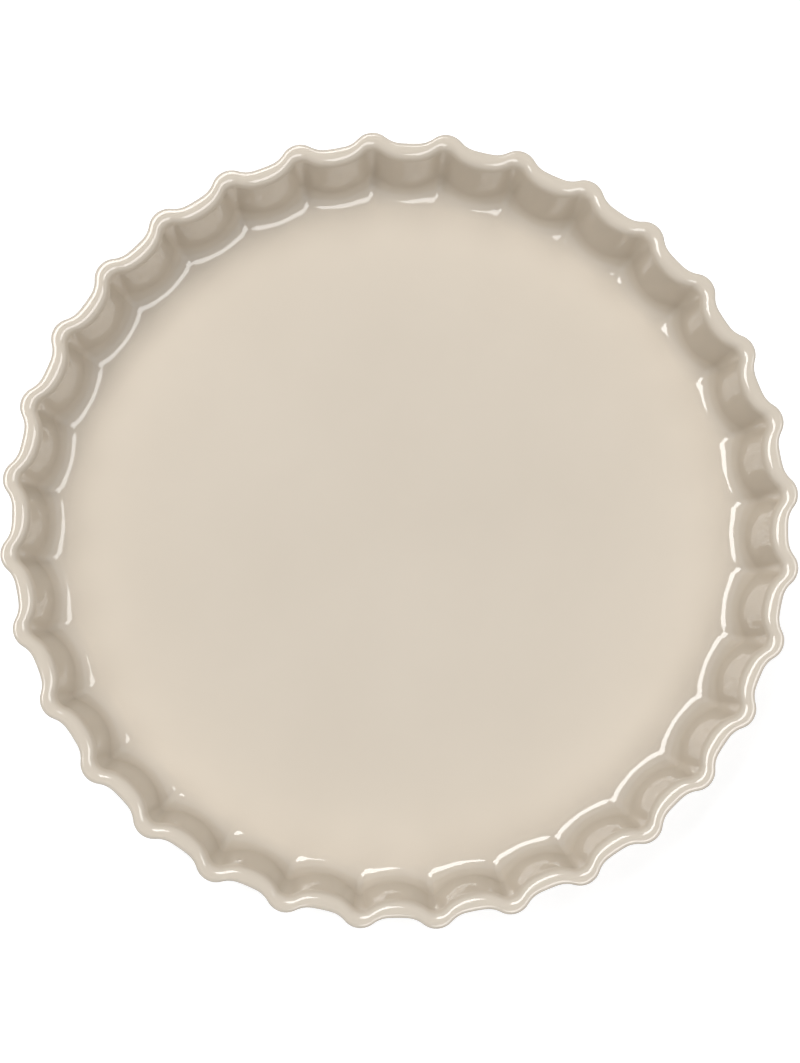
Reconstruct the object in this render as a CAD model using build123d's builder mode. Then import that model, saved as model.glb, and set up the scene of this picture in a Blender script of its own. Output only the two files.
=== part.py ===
"""Fluted quiche dish: a pressed stoneware body in a fused coat of glaze.

The body is floor, fluted wall and rim in one piece of clay, with a shallow round recess
under the floor, so that it stands on a ring of bare clay. The glaze is a thin glassy shell
over the inside, the rim and the outside, and stops just above the table.

Both come from closed lofts through fluted rings: up the outside, over the rim and down
the inside to the floor. Millimetres, +Z up, with the origin under the middle of the base.
"""

from build123d import *

import os
from math import cos, pi, radians, sin, tan

# Overall size: across two opposite crests of the rim, and from the table to the rim
dish_width = 320.0
dish_height = 40.0

# Walls, which lean outwards
floor_thickness = 6.0
outer_draft = radians(9.5)
inner_draft = radians(9.5)

# Flutes, measured at the rim. Down the inside they draw in to narrow crests at the cove. The
# clay's are struck in flats, a few to each crest and each scoop, that leave the round by less
# than half of the glaze over them.
flute_count = 32
flute_depth = 4.8
crest_radius = 8.2
cove_flute_depth = 4.2
cove_crest_radius = 3.0
half_pitch = 180 / flute_count
clay_flats = 4

# Rolled rim: a small round outside, a narrow flat on top and a larger round inside
rim_thickness = 7.5
outer_roll = 1.8
inner_roll = 4.9
roll_facets = 1

# Cove where the inner wall meets the floor
cove_radius = 8.5
cove_facets = 1

# Base
recess_radius = 126.0
recess_depth = 1.5
bare_height = 1.0

# Glaze, which fills out the clay's square rim and so lies thicker there
glaze_thickness = 0.5
rim_glaze = 1.0


def fluted_ring(inset, height, under_glaze=False):
    """One fluted outline of the dish at a height, inset from the crests of the rim.

    Each flute is a crest and a scoop on a common tangent. The crest is centred on its own
    radius of the dish, and the scoop on the radius halfway to the next crest, outside the
    dish. The outline shrinks towards the axis as the inset grows, flutes and all. Inside
    the rim the crests also grow narrower and lower. Under the glaze, flats join points of
    the same arcs.
    """
    reach = dish_width / 2
    down_share = max(0, inset - rim_thickness) / (cove_inset - rim_thickness)
    radius = crest_radius + (cove_crest_radius - crest_radius) * down_share
    crest_reach = reach - (flute_depth - cove_flute_depth) * down_share
    scoop_reach = reach - flute_depth
    centre = crest_reach - radius
    centre_across = centre * cos(pi / flute_count)
    scoop_radius = (
        (centre**2 + scoop_reach**2 - radius**2 - 2 * scoop_reach * centre_across)
        / (2 * (radius + centre_across - scoop_reach))
    )
    crest_centre = Vector(centre, 0)
    scoop_centre = Vector(scoop_reach + scoop_radius, 0).rotate(Axis.Z, half_pitch)
    shoulder = crest_centre + (scoop_centre - crest_centre).normalized() * radius
    before = Vector(shoulder.X, -shoulder.Y)
    middle = Vector(scoop_reach, 0).rotate(Axis.Z, half_pitch)
    after = before.rotate(Axis.Z, 2 * half_pitch)

    shrink = 1 - inset / reach
    crest = ThreePointArc(before * shrink, Vector(crest_reach, 0) * shrink, shoulder * shrink)
    scoop = ThreePointArc(shoulder * shrink, middle * shrink, after * shrink)
    with BuildLine() as flute:
        if under_glaze:
            corners = [arc @ (flat / clay_flats) for arc in (crest, scoop) for flat in range(clay_flats)]
            Polyline(*corners, scoop @ 1)
        else:
            add([crest, scoop])
    with BuildSketch(Plane.XY.offset(height)) as ring:
        with BuildLine():
            with PolarLocations(0, flute_count):
                add(flute.line)
        make_face()
    return ring.sketch


def tangent_corners(inset, height, radius, start, end, facets):
    """Corners of the facets that stand for a round of the wall's section.

    The round is an arc about a centre given by its inset and height. Its facets touch it
    at even angles, and so do the two faces that it joins.
    """
    step = (end - start) / (facets + 1)
    reach = radius / cos(step / 2)
    angles = [start + step * (corner + 1 / 2) for corner in range(facets + 1)]
    return [(inset + reach * cos(angle), height + reach * sin(angle)) for angle in angles]


# Section of the glazed wall, as insets and heights. The outside goes from the rim's edge
# inwards, and the inside from the rim down the wall and through the cove to the floor.
outer_round = tangent_corners(outer_roll, dish_height - outer_roll, outer_roll, pi, pi / 2, roll_facets)
inner_roll_inset = rim_thickness - inner_roll
inner_roll_base = dish_height - inner_roll
inner_round = tangent_corners(
    inner_roll_inset, inner_roll_base, inner_roll, pi / 2, inner_draft, roll_facets
)
cove_height = floor_thickness + cove_radius
wall_drop = inner_roll_base - cove_height + (inner_roll + cove_radius) * sin(inner_draft)
cove_inset = (
    inner_roll_inset + (inner_roll + cove_radius) * cos(inner_draft) + wall_drop * tan(inner_draft)
)
cove = tangent_corners(cove_inset, cove_height, cove_radius, pi + inner_draft, 3 * pi / 2, cove_facets)
outer_wall_top = outer_round[0][1]
glaze_line = ((outer_wall_top - bare_height) * tan(outer_draft), bare_height)

# Section of the clay under the glaze, with a square outer corner
clay_heel = (outer_wall_top * tan(outer_draft) + glaze_thickness, 0)
clay_corner = (rim_glaze, dish_height - rim_glaze)
clay_round = tangent_corners(
    inner_roll_inset, inner_roll_base, inner_roll - rim_glaze, pi / 2, inner_draft, roll_facets
)
clay_cove = tangent_corners(
    cove_inset, cove_height, cove_radius + glaze_thickness, pi + inner_draft, 3 * pi / 2, cove_facets
)

# Body, with its shallow recess
with BuildPart() as stoneware_body:
    clay_section = [clay_heel, clay_corner, *clay_round, *clay_cove]
    loft([fluted_ring(*place, under_glaze=True) for place in clay_section], ruled=True)
    with BuildSketch():
        Circle(recess_radius)
    extrude(amount=recess_depth, mode=Mode.SUBTRACT)
stoneware_body.part.label = "stoneware_body"

# Glaze: the whole glazed form, less the clay and the recess
with BuildPart() as glaze_coat:
    glaze_section = [glaze_line, *outer_round, *inner_round, *cove]
    loft([fluted_ring(*place) for place in glaze_section], ruled=True)
    with BuildSketch():
        Circle(recess_radius)
    extrude(amount=recess_depth, mode=Mode.SUBTRACT)
    add(stoneware_body.part, mode=Mode.SUBTRACT)
glaze_coat.part.label = "glaze_coat"

os.makedirs("parts", exist_ok=True)
for piece in (stoneware_body, glaze_coat):
    export_step(piece.part, f"parts/{piece.part.label}.step")
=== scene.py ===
"""Fluted quiche dish in beige stoneware: a pressed clay body in a fused coat of glossy glaze.

It stands on a plain white table in soft studio light, seen from almost straight above.
Metres, +Z up, with the origin under the middle of the base.
"""

from math import atan2, cos, pi, radians, sin, tan

import bmesh
import bpy
from mathutils import Matrix, Vector


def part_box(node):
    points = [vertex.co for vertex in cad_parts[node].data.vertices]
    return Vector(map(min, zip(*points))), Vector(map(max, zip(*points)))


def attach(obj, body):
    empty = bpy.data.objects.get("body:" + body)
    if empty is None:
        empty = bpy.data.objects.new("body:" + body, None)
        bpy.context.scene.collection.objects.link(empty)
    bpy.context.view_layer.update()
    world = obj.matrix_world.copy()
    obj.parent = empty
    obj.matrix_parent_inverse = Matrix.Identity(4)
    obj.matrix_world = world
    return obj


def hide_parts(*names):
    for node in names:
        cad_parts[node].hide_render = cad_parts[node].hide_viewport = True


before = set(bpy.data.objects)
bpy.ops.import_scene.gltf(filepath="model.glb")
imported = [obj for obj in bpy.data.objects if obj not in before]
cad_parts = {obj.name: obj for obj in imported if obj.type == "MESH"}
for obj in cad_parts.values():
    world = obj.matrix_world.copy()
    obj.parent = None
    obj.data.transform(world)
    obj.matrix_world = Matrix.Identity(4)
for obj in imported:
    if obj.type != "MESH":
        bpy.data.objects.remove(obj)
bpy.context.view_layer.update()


# Stoneware body: floor, fluted wall and rim in one piece of buff clay, pressed in a mould and
# fired. Its foot is a flat ring of bare clay, sponged smooth, round a shallow recess that
# keeps the middle of the floor off the table.

flute_count = 32
dish_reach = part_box("glaze_coat")[1].x  # from the axis to the crest of a flute at the rim
dish_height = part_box("glaze_coat")[1].z
floor_thickness = 0.006
outer_draft = radians(9.5)
inner_draft = radians(9.5)

# A flute down the outside, at the rim's inner edge and at the cove: how far its crest stands
# out past the dish's reach, the crest's radius and the angle that it turns through, the radius
# of the hollow flank, and the angle at which the flank meets the scoop
outer_flute = (0, 0.0082, radians(43.25), 0.011, radians(8.55))
rim_flute = (0.0005, 0.005, radians(42), 0.0177, radians(14))
cove_flute = (0.0005, 0.003, radians(39), 0.0243, radians(17))
crest_steps = 7
flank_steps = 6
scoop_steps = 3

# The rim is a small low round outside and a larger one inside. The cove opens out where a
# crest runs down into it, and its focus is how closely that opening keeps to the crest. The
# wall's shares place the rings along each straight stretch of its section.
rim_thickness = 0.0075
outer_roll_width = 0.0018
outer_roll_height = 0.0011
outer_roll_base = dish_height - outer_roll_height
inner_roll = 0.0049
inner_roll_inset = rim_thickness - inner_roll
inner_roll_base = dish_height - inner_roll
roll_steps = 12
cove_radius = 0.0085
crest_cove_radius = 0.012
crest_cove_focus = 2
cove_steps = 13
wall_shares = (0.03, 0.35, 0.65, 0.97)

glaze_thickness = 0.0005
rim_glaze = 0.001

# The recess's edge runs from its ceiling out to the foot. Its shares, of the recess's depth,
# say how far each ring stands out from the recess's radius, and how high it is. The floor's
# shares draw its rings in towards the middle, above and below.
recess_radius = 0.126
recess_depth = 0.0015
recess_edge_shares = ((-0.4, 1), (-0.1, 0.8), (0, 0.3), (0.2, 0.06), (0.4, 0))
floor_shares = (0.985, 0.95, 0.88, 0.75, 0.6, 0.4, 0.2, 0.08)
heel_round = 0.0006
heel_steps = 3

# Where clay and glaze are fused, out of sight, every second ring of the wall is enough. The
# wall's rings are odd in number, so the first and the last are kept.
hidden_stride = 2

clay_shade = (0.56, 0.46, 0.34, 1)
clay_light = (0.68, 0.58, 0.45, 1)
grog_brown = (0.42, 0.32, 0.22, 1)
untinted = (1, 1, 1, 1)
clay_tooth = 0.0002


def fluted_ring(inset, height, stage=0):
    """One outline of the dish at a height, drawn in towards the axis, flutes and all.

    A flute is a round crest, a hollow flank each side of it and a shallower scoop, all on
    common tangents. The scoop's centre lies on the line halfway to the next crest. The
    crests grow narrower by stages: 0 outside, 1 at the rim's inner edge and 2 at the cove.
    """
    if stage < 1:
        flute_above, flute_below, share = outer_flute, rim_flute, stage
    else:
        flute_above, flute_below, share = rim_flute, cove_flute, stage - 1
    crest_rise, crest_radius, crest_turn, flank_radius, scoop_turn = (
        above + (below - above) * share for above, below in zip(flute_above, flute_below)
    )
    half_pitch = pi / flute_count
    across_scoop = Vector((cos(half_pitch), sin(half_pitch)))
    crest_normal = Vector((cos(crest_turn), sin(crest_turn)))
    scoop_normal = Vector((cos(scoop_turn), sin(scoop_turn)))
    crest_centre = Vector((dish_reach + crest_rise - crest_radius, 0))
    flank_centre = crest_centre + (crest_radius + flank_radius) * crest_normal
    reach_out = across_scoop.cross(flank_centre) / -across_scoop.cross(scoop_normal)
    scoop_centre = flank_centre + reach_out * scoop_normal
    scoop_radius = flank_radius + reach_out

    arcs = (
        (crest_centre, crest_radius, 0, crest_turn, crest_steps),
        (flank_centre, -flank_radius, crest_turn, scoop_turn, flank_steps),
        (scoop_centre, -scoop_radius, scoop_turn, half_pitch, scoop_steps),
    )
    half = []
    for centre, radius, start, end, steps in arcs:
        for step in range(steps):
            turn = start + (end - start) * step / steps
            half.append(centre + radius * Vector((cos(turn), sin(turn))))
    middle = scoop_centre - scoop_radius * across_scoop
    mirrored = [Vector((point.x, -point.y)) for point in reversed(half[1:])]
    flute = [*mirrored, *half, middle]

    shrink = 1 - inset / dish_reach
    ring = []
    for number in range(flute_count):
        turned = Matrix.Rotation(2 * half_pitch * number, 2)
        ring += [(turned @ point * shrink).to_3d() + Vector((0, 0, height)) for point in flute]
    return ring


def round_of(inset, height, width, rise, start, end, steps):
    """Points of a round in the wall's section, part of an ellipse about a centre."""
    turns = [start + (end - start) * step / steps for step in range(steps + 1)]
    return [(inset + width * cos(turn), height + rise * sin(turn)) for turn in turns]


def straight(start, end):
    """The points between two section points, without the two and crowded near them."""
    return [tuple(a + (b - a) * share for a, b in zip(start, end)) for share in wall_shares]


def outer_wall_inset(depth, height):
    """Inset of the outer wall at a height, some depth under the glaze's face."""
    return (outer_roll_base - height) * tan(outer_draft) + depth


def cove_centre(radius):
    """Inset and height of the centre of a cove that touches the inner wall and the floor."""
    height = floor_thickness + radius
    drop = inner_roll_base - height + (inner_roll + radius) * sin(inner_draft)
    inset = inner_roll_inset + (inner_roll + radius) * cos(inner_draft) + drop * tan(inner_draft)
    return inset, height


def wall_section(depth, rim_depth, foot_height, cove_round):
    """The wall's section from its foot over the rim and down to the floor.

    Each point has an inset, a height and the stage of its flutes. The section lies some
    depth under the glaze's face, and deeper at the rim. The face's own cove has the radius
    cove_round.
    """
    inner_radius, cove_reach = inner_roll - rim_depth, cove_round + depth
    foot = (outer_wall_inset(depth, foot_height), foot_height, 0)
    outer = round_of(
        outer_roll_width, outer_roll_base,
        outer_roll_width - rim_depth, outer_roll_height - rim_depth,
        pi, pi / 2, roll_steps,
    )
    inner = round_of(
        inner_roll_inset, inner_roll_base, inner_radius, inner_radius,
        pi / 2, inner_draft, roll_steps,
    )
    cove = round_of(
        *cove_centre(cove_round), cove_reach, cove_reach,
        pi + inner_draft, 3 * pi / 2, cove_steps,
    )
    inner_edge = inner[-1][0]
    rim = [(inset, height, inset / inner_edge) for inset, height in (*outer, *inner)]
    cove = [(*place, 2) for place in cove]
    return [foot, *straight(foot, rim[0]), *rim, *straight(rim[-1], cove[0]), *cove]


def wall_rings(depth, rim_depth, foot_height):
    """Fluted rings up the outside, over the rim and down to the floor.

    The cove opens out where a crest runs down into it, as the mould's was rounded off there.
    """
    scoop_section = wall_section(depth, rim_depth, foot_height, cove_radius)
    crest_section = wall_section(depth, rim_depth, foot_height, crest_cove_radius)
    rings = []
    for scoop_place, crest_place in zip(scoop_section, crest_section):
        ring = []
        for scoop_point, crest_point in zip(fluted_ring(*scoop_place), fluted_ring(*crest_place)):
            turn = flute_count * atan2(scoop_point.y, scoop_point.x)
            crest_share = ((1 + cos(turn)) / 2) ** crest_cove_focus
            ring.append(scoop_point.lerp(crest_point, crest_share))
        rings.append(ring)
    return rings


def shrunk(ring, share):
    """A ring drawn in towards the axis in its own plane."""
    return [Vector((point.x * share, point.y * share, point.z)) for point in ring]


def circle_like(ring, radius, height):
    """A circle whose points stand at the angles of a ring's points."""
    return [(point.xy.normalized() * radius).to_3d() + Vector((0, 0, height)) for point in ring]


def placed(name, data):
    """A new object in the scene, with its mesh, lamp or camera."""
    item = bpy.data.objects.new(name, data)
    bpy.context.scene.collection.objects.link(item)
    return item


def closed_skin(name, rings, first_middle, last_middle):
    """A closed smooth mesh through rings of equal counts, with a middle point at each end."""
    mesh = bmesh.new()
    rows = [[mesh.verts.new(point) for point in ring] for ring in rings]
    for row, next_row in zip(rows, rows[1:]):
        for place, corner in enumerate(row):
            before = place - 1
            mesh.faces.new((row[before], corner, next_row[place], next_row[before]))
    for row, middle, turned in ((rows[0], first_middle, True), (rows[-1], last_middle, False)):
        point = mesh.verts.new(middle)
        for place, corner in enumerate(row):
            edge = (row[place - 1], corner)
            mesh.faces.new((point, *reversed(edge)) if turned else (*edge, point))
    bmesh.ops.recalc_face_normals(mesh, faces=mesh.faces)
    for face in mesh.faces:
        face.smooth = True
    data = bpy.data.meshes.new(name)
    mesh.to_mesh(data)
    mesh.free()
    return placed(name, data)


clay_rings = wall_rings(glaze_thickness, rim_glaze, heel_round)[::hidden_stride]
clay_floor = [shrunk(clay_rings[-1], share) for share in floor_shares]
heel_inset = outer_wall_inset(glaze_thickness, heel_round) + heel_round
heel_section = round_of(
    heel_inset, heel_round, heel_round, heel_round, 3 * pi / 2, pi, heel_steps
)
heel = [fluted_ring(*place) for place in heel_section]
recess_edge = [
    circle_like(heel[0], recess_radius + recess_depth * out, recess_depth * up)
    for out, up in recess_edge_shares
]
recess_ceiling = [shrunk(recess_edge[0], share) for share in reversed(floor_shares)]
stoneware_body = closed_skin(
    "stoneware_body_fired",
    [*recess_ceiling, *recess_edge, *heel[:-1], *clay_rings, *clay_floor],
    Vector((0, 0, recess_depth)),
    Vector((0, 0, floor_thickness - glaze_thickness)),
)


def new_material(name):
    """A new material, and the nodes and links that it is made of."""
    material = bpy.data.materials.new(name)
    material.use_nodes = True
    return material, material.node_tree.nodes, material.node_tree.links


def noise(nodes, scale, detail):
    """Soft noise, with so many patches to a metre and so many finer layers on them."""
    texture = nodes.new("ShaderNodeTexNoise")
    texture.inputs["Scale"].default_value = scale
    texture.inputs["Detail"].default_value = detail
    return texture


def tints(nodes, low, low_tint, high, high_tint):
    """A passage from one tint, up to a low value, to another from a high value on."""
    passage = nodes.new("ShaderNodeValToRGB")
    first, last = passage.color_ramp.elements
    first.position, first.color = low, low_tint
    last.position, last.color = high, high_tint
    return passage


def fired_clay():
    """Bare fired stoneware: buff and matte, with darker grog showing at the sponged foot."""
    material, nodes, links = new_material("fired_clay")
    surface = nodes["Principled BSDF"]
    surface.inputs["Roughness"].default_value = 0.85
    surface.inputs["Specular IOR Level"].default_value = 0.3
    place = nodes.new("ShaderNodeTexCoord")

    cloud = noise(nodes, scale=45, detail=5)
    clay = tints(nodes, low=0.3, low_tint=clay_shade, high=0.72, high_tint=clay_light)

    grain = nodes.new("ShaderNodeTexVoronoi")
    grain.inputs["Scale"].default_value = 620
    speck = tints(nodes, low=0.1, low_tint=grog_brown, high=0.2, high_tint=untinted)
    speckled = nodes.new("ShaderNodeMix")
    speckled.data_type = "RGBA"
    speckled.blend_type = "MULTIPLY"
    speckled.inputs["Factor"].default_value = 0.6

    tooth = noise(nodes, scale=900, detail=3)
    bump = nodes.new("ShaderNodeBump")
    bump.inputs["Strength"].default_value = 0.35
    bump.inputs["Distance"].default_value = clay_tooth

    for texture in (cloud, grain, tooth):
        links.new(place.outputs["Object"], texture.inputs["Vector"])
    links.new(cloud.outputs["Fac"], clay.inputs["Fac"])
    links.new(grain.outputs["Distance"], speck.inputs["Fac"])
    links.new(clay.outputs["Color"], speckled.inputs["A"])
    links.new(speck.outputs["Color"], speckled.inputs["B"])
    links.new(speckled.outputs["Result"], surface.inputs["Base Color"])
    links.new(tooth.outputs["Fac"], bump.inputs["Height"])
    links.new(bump.outputs["Normal"], surface.inputs["Normal"])
    return material


stoneware_body.data.materials.append(fired_clay())
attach(stoneware_body, "root")
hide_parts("stoneware_body")


# Glaze coat: a glassy beige shell, fused to the clay in the second firing. It runs from the
# floor over the rim and down the outside, rounds every edge, and is wiped off just above the
# foot, so that the dish doesn't stick to the kiln shelf.

glaze_line = 0.001
face_foot = glaze_line + glaze_thickness
bead_margin = 0.3  # the angle, in radians, by which the bead stops short at each end
bead_steps = 2

glaze_shade = (0.615, 0.543, 0.448, 1)
glaze_light = (0.635, 0.562, 0.466, 1)
glaze_ripple = 0.0002

under_rings = wall_rings(glaze_thickness, rim_glaze, glaze_line)[::hidden_stride]
under_floor = [shrunk(under_rings[-1], share) for share in reversed(floor_shares)]
bead_inset = outer_wall_inset(0, face_foot) + glaze_thickness
bead_section = round_of(
    bead_inset, face_foot, glaze_thickness, glaze_thickness,
    3 * pi / 2 - bead_margin, pi + bead_margin, bead_steps,
)
bead = [fluted_ring(*place) for place in bead_section]
face_rings = wall_rings(0, 0, face_foot)
face_floor = [shrunk(face_rings[-1], share) for share in floor_shares]
glaze_coat = closed_skin(
    "glaze_coat_fused",
    [*under_floor, *reversed(under_rings), *bead, *face_rings, *face_floor],
    Vector((0, 0, floor_thickness - glaze_thickness)),
    Vector((0, 0, floor_thickness)),
)


def glossy_glaze():
    """Opaque beige glaze with a wet gloss, hardly clouded, and a faint ripple where it flowed."""
    material, nodes, links = new_material("glossy_glaze")
    surface = nodes["Principled BSDF"]
    surface.inputs["IOR"].default_value = 1.7
    place = nodes.new("ShaderNodeTexCoord")

    cloud = noise(nodes, scale=14, detail=4)
    beige = tints(nodes, low=0.35, low_tint=glaze_shade, high=0.65, high_tint=glaze_light)
    sheen = nodes.new("ShaderNodeMapRange")
    sheen.inputs["To Min"].default_value = 0.008
    sheen.inputs["To Max"].default_value = 0.015

    ripple = noise(nodes, scale=38, detail=1)
    bump = nodes.new("ShaderNodeBump")
    bump.inputs["Strength"].default_value = 0.12
    bump.inputs["Distance"].default_value = glaze_ripple

    for texture in (cloud, ripple):
        links.new(place.outputs["Object"], texture.inputs["Vector"])
    links.new(cloud.outputs["Fac"], beige.inputs["Fac"])
    links.new(cloud.outputs["Fac"], sheen.inputs["Value"])
    links.new(beige.outputs["Color"], surface.inputs["Base Color"])
    links.new(sheen.outputs["Result"], surface.inputs["Roughness"])
    links.new(ripple.outputs["Fac"], bump.inputs["Height"])
    links.new(bump.outputs["Normal"], surface.inputs["Normal"])
    return material


glaze_coat.data.materials.append(glossy_glaze())
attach(glaze_coat, "root")
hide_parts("glaze_coat")


# Table: a plain pale sheet, open under the dish so that the foot can be seen from below. It
# takes the dish's shadow. It looks white to the camera, and paler than it is in the glaze's
# mirror, without giving the dish more light.

table_reach = 0.9
opening_reach = 0.147
table_drop = 0.0001
table_sides = 96

paper_grey = (0.6, 0.6, 0.6, 1)
camera_lift = 0.65
mirror_lift = 0.4

table_mesh = bmesh.new()
side_turns = [2 * pi * side / table_sides for side in range(table_sides)]
circle = [Vector((cos(turn), sin(turn), 0)) for turn in side_turns]
opening, border = (
    [table_mesh.verts.new(point * reach - Vector((0, 0, table_drop))) for point in circle]
    for reach in (opening_reach, table_reach)
)
for side in range(table_sides):
    before = side - 1
    table_mesh.faces.new((opening[before], border[before], border[side], opening[side]))
table_data = bpy.data.meshes.new("table")
table_mesh.to_mesh(table_data)
table_mesh.free()
table = placed("table", table_data)


def math_node(nodes, operation):
    """A node that works out one value from two or three."""
    node = nodes.new("ShaderNodeMath")
    node.operation = operation
    return node


def white_sheet():
    """Pale matte paper, lifted to white for the camera and clear from underneath."""
    material, nodes, links = new_material("white_sheet")
    paper = nodes["Principled BSDF"]
    paper.inputs["Base Color"].default_value = paper_grey
    paper.inputs["Roughness"].default_value = 0.9
    paper.inputs["Specular IOR Level"].default_value = 0
    path = nodes.new("ShaderNodeLightPath")
    side = nodes.new("ShaderNodeNewGeometry")
    lift = nodes.new("ShaderNodeEmission")
    mirrored = math_node(nodes, "MULTIPLY")
    mirrored.inputs[1].default_value = mirror_lift
    lifted = math_node(nodes, "MULTIPLY_ADD")
    lifted.inputs[1].default_value = camera_lift
    both = nodes.new("ShaderNodeAddShader")
    clear = nodes.new("ShaderNodeBsdfTransparent")
    either = nodes.new("ShaderNodeMixShader")

    links.new(path.outputs["Is Glossy Ray"], mirrored.inputs[0])
    links.new(path.outputs["Is Camera Ray"], lifted.inputs[0])
    links.new(mirrored.outputs["Value"], lifted.inputs[2])
    links.new(lifted.outputs["Value"], lift.inputs["Strength"])
    links.new(paper.outputs["BSDF"], both.inputs[0])
    links.new(lift.outputs["Emission"], both.inputs[1])
    links.new(side.outputs["Backfacing"], either.inputs["Fac"])
    links.new(both.outputs["Shader"], either.inputs[1])
    links.new(clear.outputs["BSDF"], either.inputs[2])
    links.new(either.outputs["Shader"], nodes["Material Output"].inputs["Surface"])
    return material


table.data.materials.append(white_sheet())


# Studio light: two long softboxes at opposite corners of the table, in a dark room that looks
# white to the camera and to the glaze. From below the room is white for all light, so that
# the foot is lit through the table's opening.

rim_middle = Vector((0, 0, dish_height))
softbox_tilt = radians(30)  # off the vertical
softbox_distance = 1.5
softbox_length = 1.8
softbox_width = 0.6
back_left_azimuth = radians(144.7)
back_left_watts = 20.8
front_right_azimuth = radians(-28.3)
front_right_watts = 13.3


def softbox(name, azimuth, watts):
    """A soft area light that faces the rim's middle."""
    data = bpy.data.lights.new(name, "AREA")
    data.shape = "RECTANGLE"
    data.size = softbox_length
    data.size_y = softbox_width
    data.energy = watts
    direction = Vector(
        (sin(softbox_tilt) * cos(azimuth), sin(softbox_tilt) * sin(azimuth), cos(softbox_tilt))
    )
    lamp = placed(name, data)
    lamp.location = rim_middle + direction * softbox_distance
    lamp.rotation_mode = "QUATERNION"
    lamp.rotation_quaternion = direction.to_track_quat("Z", "Y")


softbox("softbox_back_left", back_left_azimuth, back_left_watts)
softbox("softbox_front_right", front_right_azimuth, front_right_watts)


def pale_room():
    """A room that is white for the camera, for mirrored rays and for all light from below."""
    room = bpy.data.worlds.new("pale_room")
    room.use_nodes = True
    nodes, links = room.node_tree.nodes, room.node_tree.links
    background = nodes["Background"]
    background.inputs["Color"].default_value = (1, 1, 1, 1)
    path = nodes.new("ShaderNodeLightPath")
    looked_at = math_node(nodes, "MAXIMUM")
    outlook = nodes.new("ShaderNodeTexCoord")
    along = nodes.new("ShaderNodeSeparateXYZ")
    from_below = math_node(nodes, "LESS_THAN")
    from_below.inputs[1].default_value = 0
    strength = math_node(nodes, "MAXIMUM")

    links.new(path.outputs["Is Camera Ray"], looked_at.inputs[0])
    links.new(path.outputs["Is Glossy Ray"], looked_at.inputs[1])
    links.new(outlook.outputs["Generated"], along.inputs["Vector"])
    links.new(along.outputs["Z"], from_below.inputs[0])
    links.new(looked_at.outputs["Value"], strength.inputs[0])
    links.new(from_below.outputs["Value"], strength.inputs[1])
    links.new(strength.outputs["Value"], background.inputs["Strength"])
    return room


bpy.context.scene.world = pale_room()
bpy.context.scene.view_settings.view_transform = "Standard"


# Camera: stands above the dish, a little off the vertical, and looks just beside the middle
# of its rim. Its sensor, in millimetres, spans the image's long side, in pixels.

view_tilt = radians(5.575)
view_azimuth = radians(-114.07)
view_roll = radians(6.7)
view_distance = 0.7234
aim = rim_middle + Vector((-0.00132, -0.00335, 0))
sensor_width = 36
image_long_side = 1063
focal_pixels = 1815.1

toward_camera = Vector(
    (sin(view_tilt) * cos(view_azimuth), sin(view_tilt) * sin(view_azimuth), cos(view_tilt))
)
across = Vector((cos(view_roll), sin(view_roll), 0))
across = (across - toward_camera * across.dot(toward_camera)).normalized()
upward = toward_camera.cross(across)

camera_data = bpy.data.cameras.new("camera")
camera_data.sensor_width = sensor_width
camera_data.lens = focal_pixels * sensor_width / image_long_side
camera = placed("camera", camera_data)
camera.matrix_world = Matrix((across, upward, toward_camera)).transposed().to_4x4()
camera.location = aim + toward_camera * view_distance
bpy.context.scene.camera = camera
